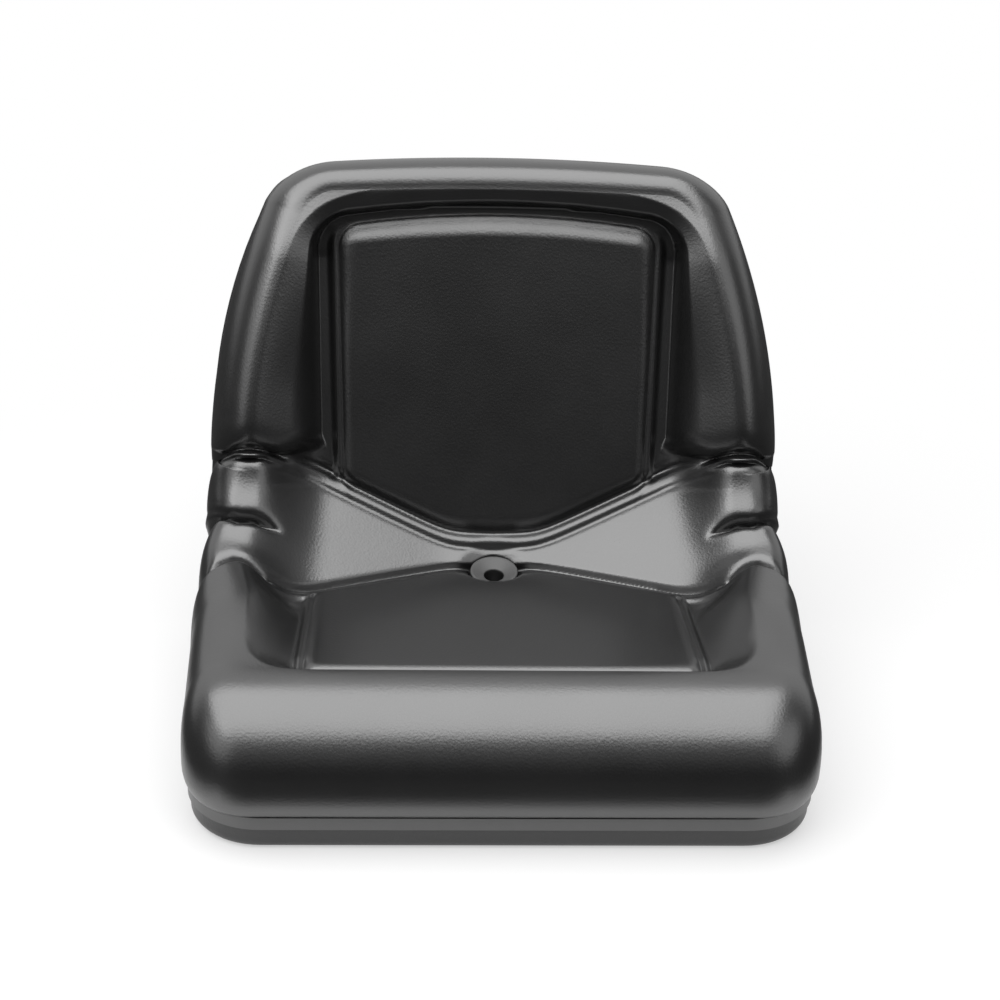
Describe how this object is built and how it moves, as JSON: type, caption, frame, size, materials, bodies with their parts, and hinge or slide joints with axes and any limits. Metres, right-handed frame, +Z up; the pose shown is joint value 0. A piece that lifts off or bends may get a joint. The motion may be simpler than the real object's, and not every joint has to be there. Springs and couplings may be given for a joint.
{
  "type": "bucket seat",
  "caption": "Low-back bucket seat for a garden machine: moulded black cushion with side bolsters on a steel pan, with a drain ferrule and bolt-down base.",
  "frame": {"origin": "centre of the mounting bolt pattern, on the flat underside of the pan", "axes": "+Z up, front of the seat towards -Y, +X to the right seen from the front"},
  "size_m": [0.49, 0.4627, 0.4064],
  "materials": {
    "pan_paint": "semi-gloss black paint on pressed steel",
    "nut_zinc": "zinc plated",
    "trim_vinyl": "black extruded edge channel",
    "ferrule_plastic": "grey moulded plastic",
    "cushion_vinyl": "black vacuum-formed vinyl skin over foam, satin"
  },
  "bodies": {
    "root": {"bucket_pan": "pan_paint", "weld_nuts": "nut_zinc", "rim_trim": "trim_vinyl", "drain_ferrule": "ferrule_plastic", "cushion": "cushion_vinyl"}
  },
  "joints": []
}
